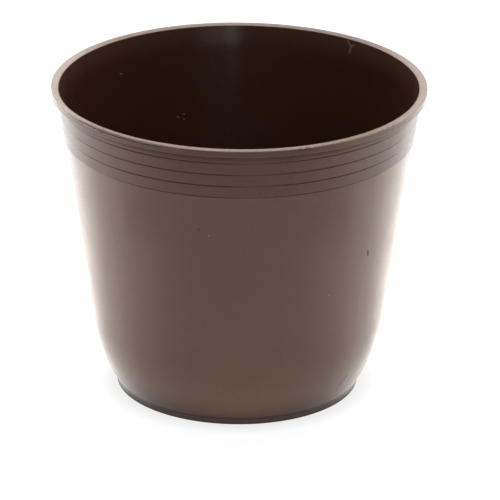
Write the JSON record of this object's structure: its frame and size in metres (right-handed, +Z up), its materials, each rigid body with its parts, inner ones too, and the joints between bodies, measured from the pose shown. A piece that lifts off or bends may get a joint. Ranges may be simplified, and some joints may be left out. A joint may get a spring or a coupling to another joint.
{
  "type": "plastic plant pot",
  "caption": "Round tapered plant pot with a flat rolled-out lip, a band of stepped rings under it, a rounded heel and a low foot ring, open at the top and drained through its floor.",
  "frame": {"origin": "centre of the foot ring, on the surface that the pot stands on", "axes": "+Z up along the pot's axis of revolution; -Y is the side that the picture shows, +X its right"},
  "size_m": [0.12, 0.12, 0.1012],
  "materials": {
    "brown_plastic": "satin, smooth, with fine specks and light scuffs"
  },
  "bodies": {
    "root": {"pot": "brown_plastic"}
  },
  "joints": []
}
